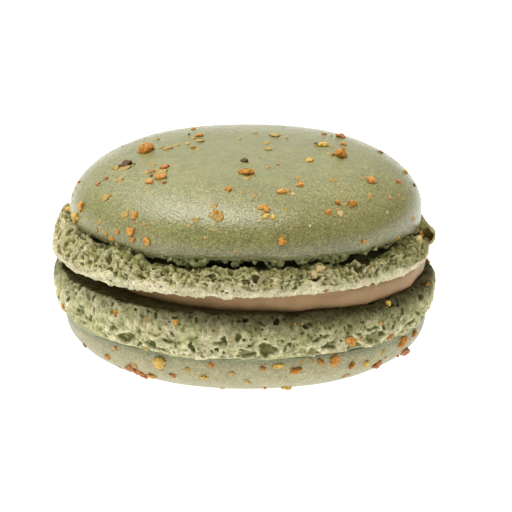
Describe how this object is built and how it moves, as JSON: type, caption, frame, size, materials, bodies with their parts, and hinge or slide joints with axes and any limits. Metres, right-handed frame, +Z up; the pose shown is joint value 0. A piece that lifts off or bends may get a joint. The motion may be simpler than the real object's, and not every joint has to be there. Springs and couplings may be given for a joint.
{
  "type": "french macaron",
  "caption": "Round sandwich biscuit: domed sage green meringue shells with ruffled porous feet and orange crumbs, joined by a thin disc of brown cream.",
  "frame": {"origin": "middle of the footprint, on the surface under the lower shell's crown", "axes": "+Z up through the stack of shells, and +Y from the front of the biscuit to its back"},
  "size_m": [0.0464, 0.0458, 0.0274],
  "materials": {
    "shell": "satin baked meringue skin over a matt porous foot",
    "filling": "soft satin cream",
    "crumbs": "dry crushed crumbs with a slight gloss"
  },
  "bodies": {
    "root": {"upper_shell": "shell", "lower_shell": "shell", "filling": "filling"}
  },
  "joints": []
}
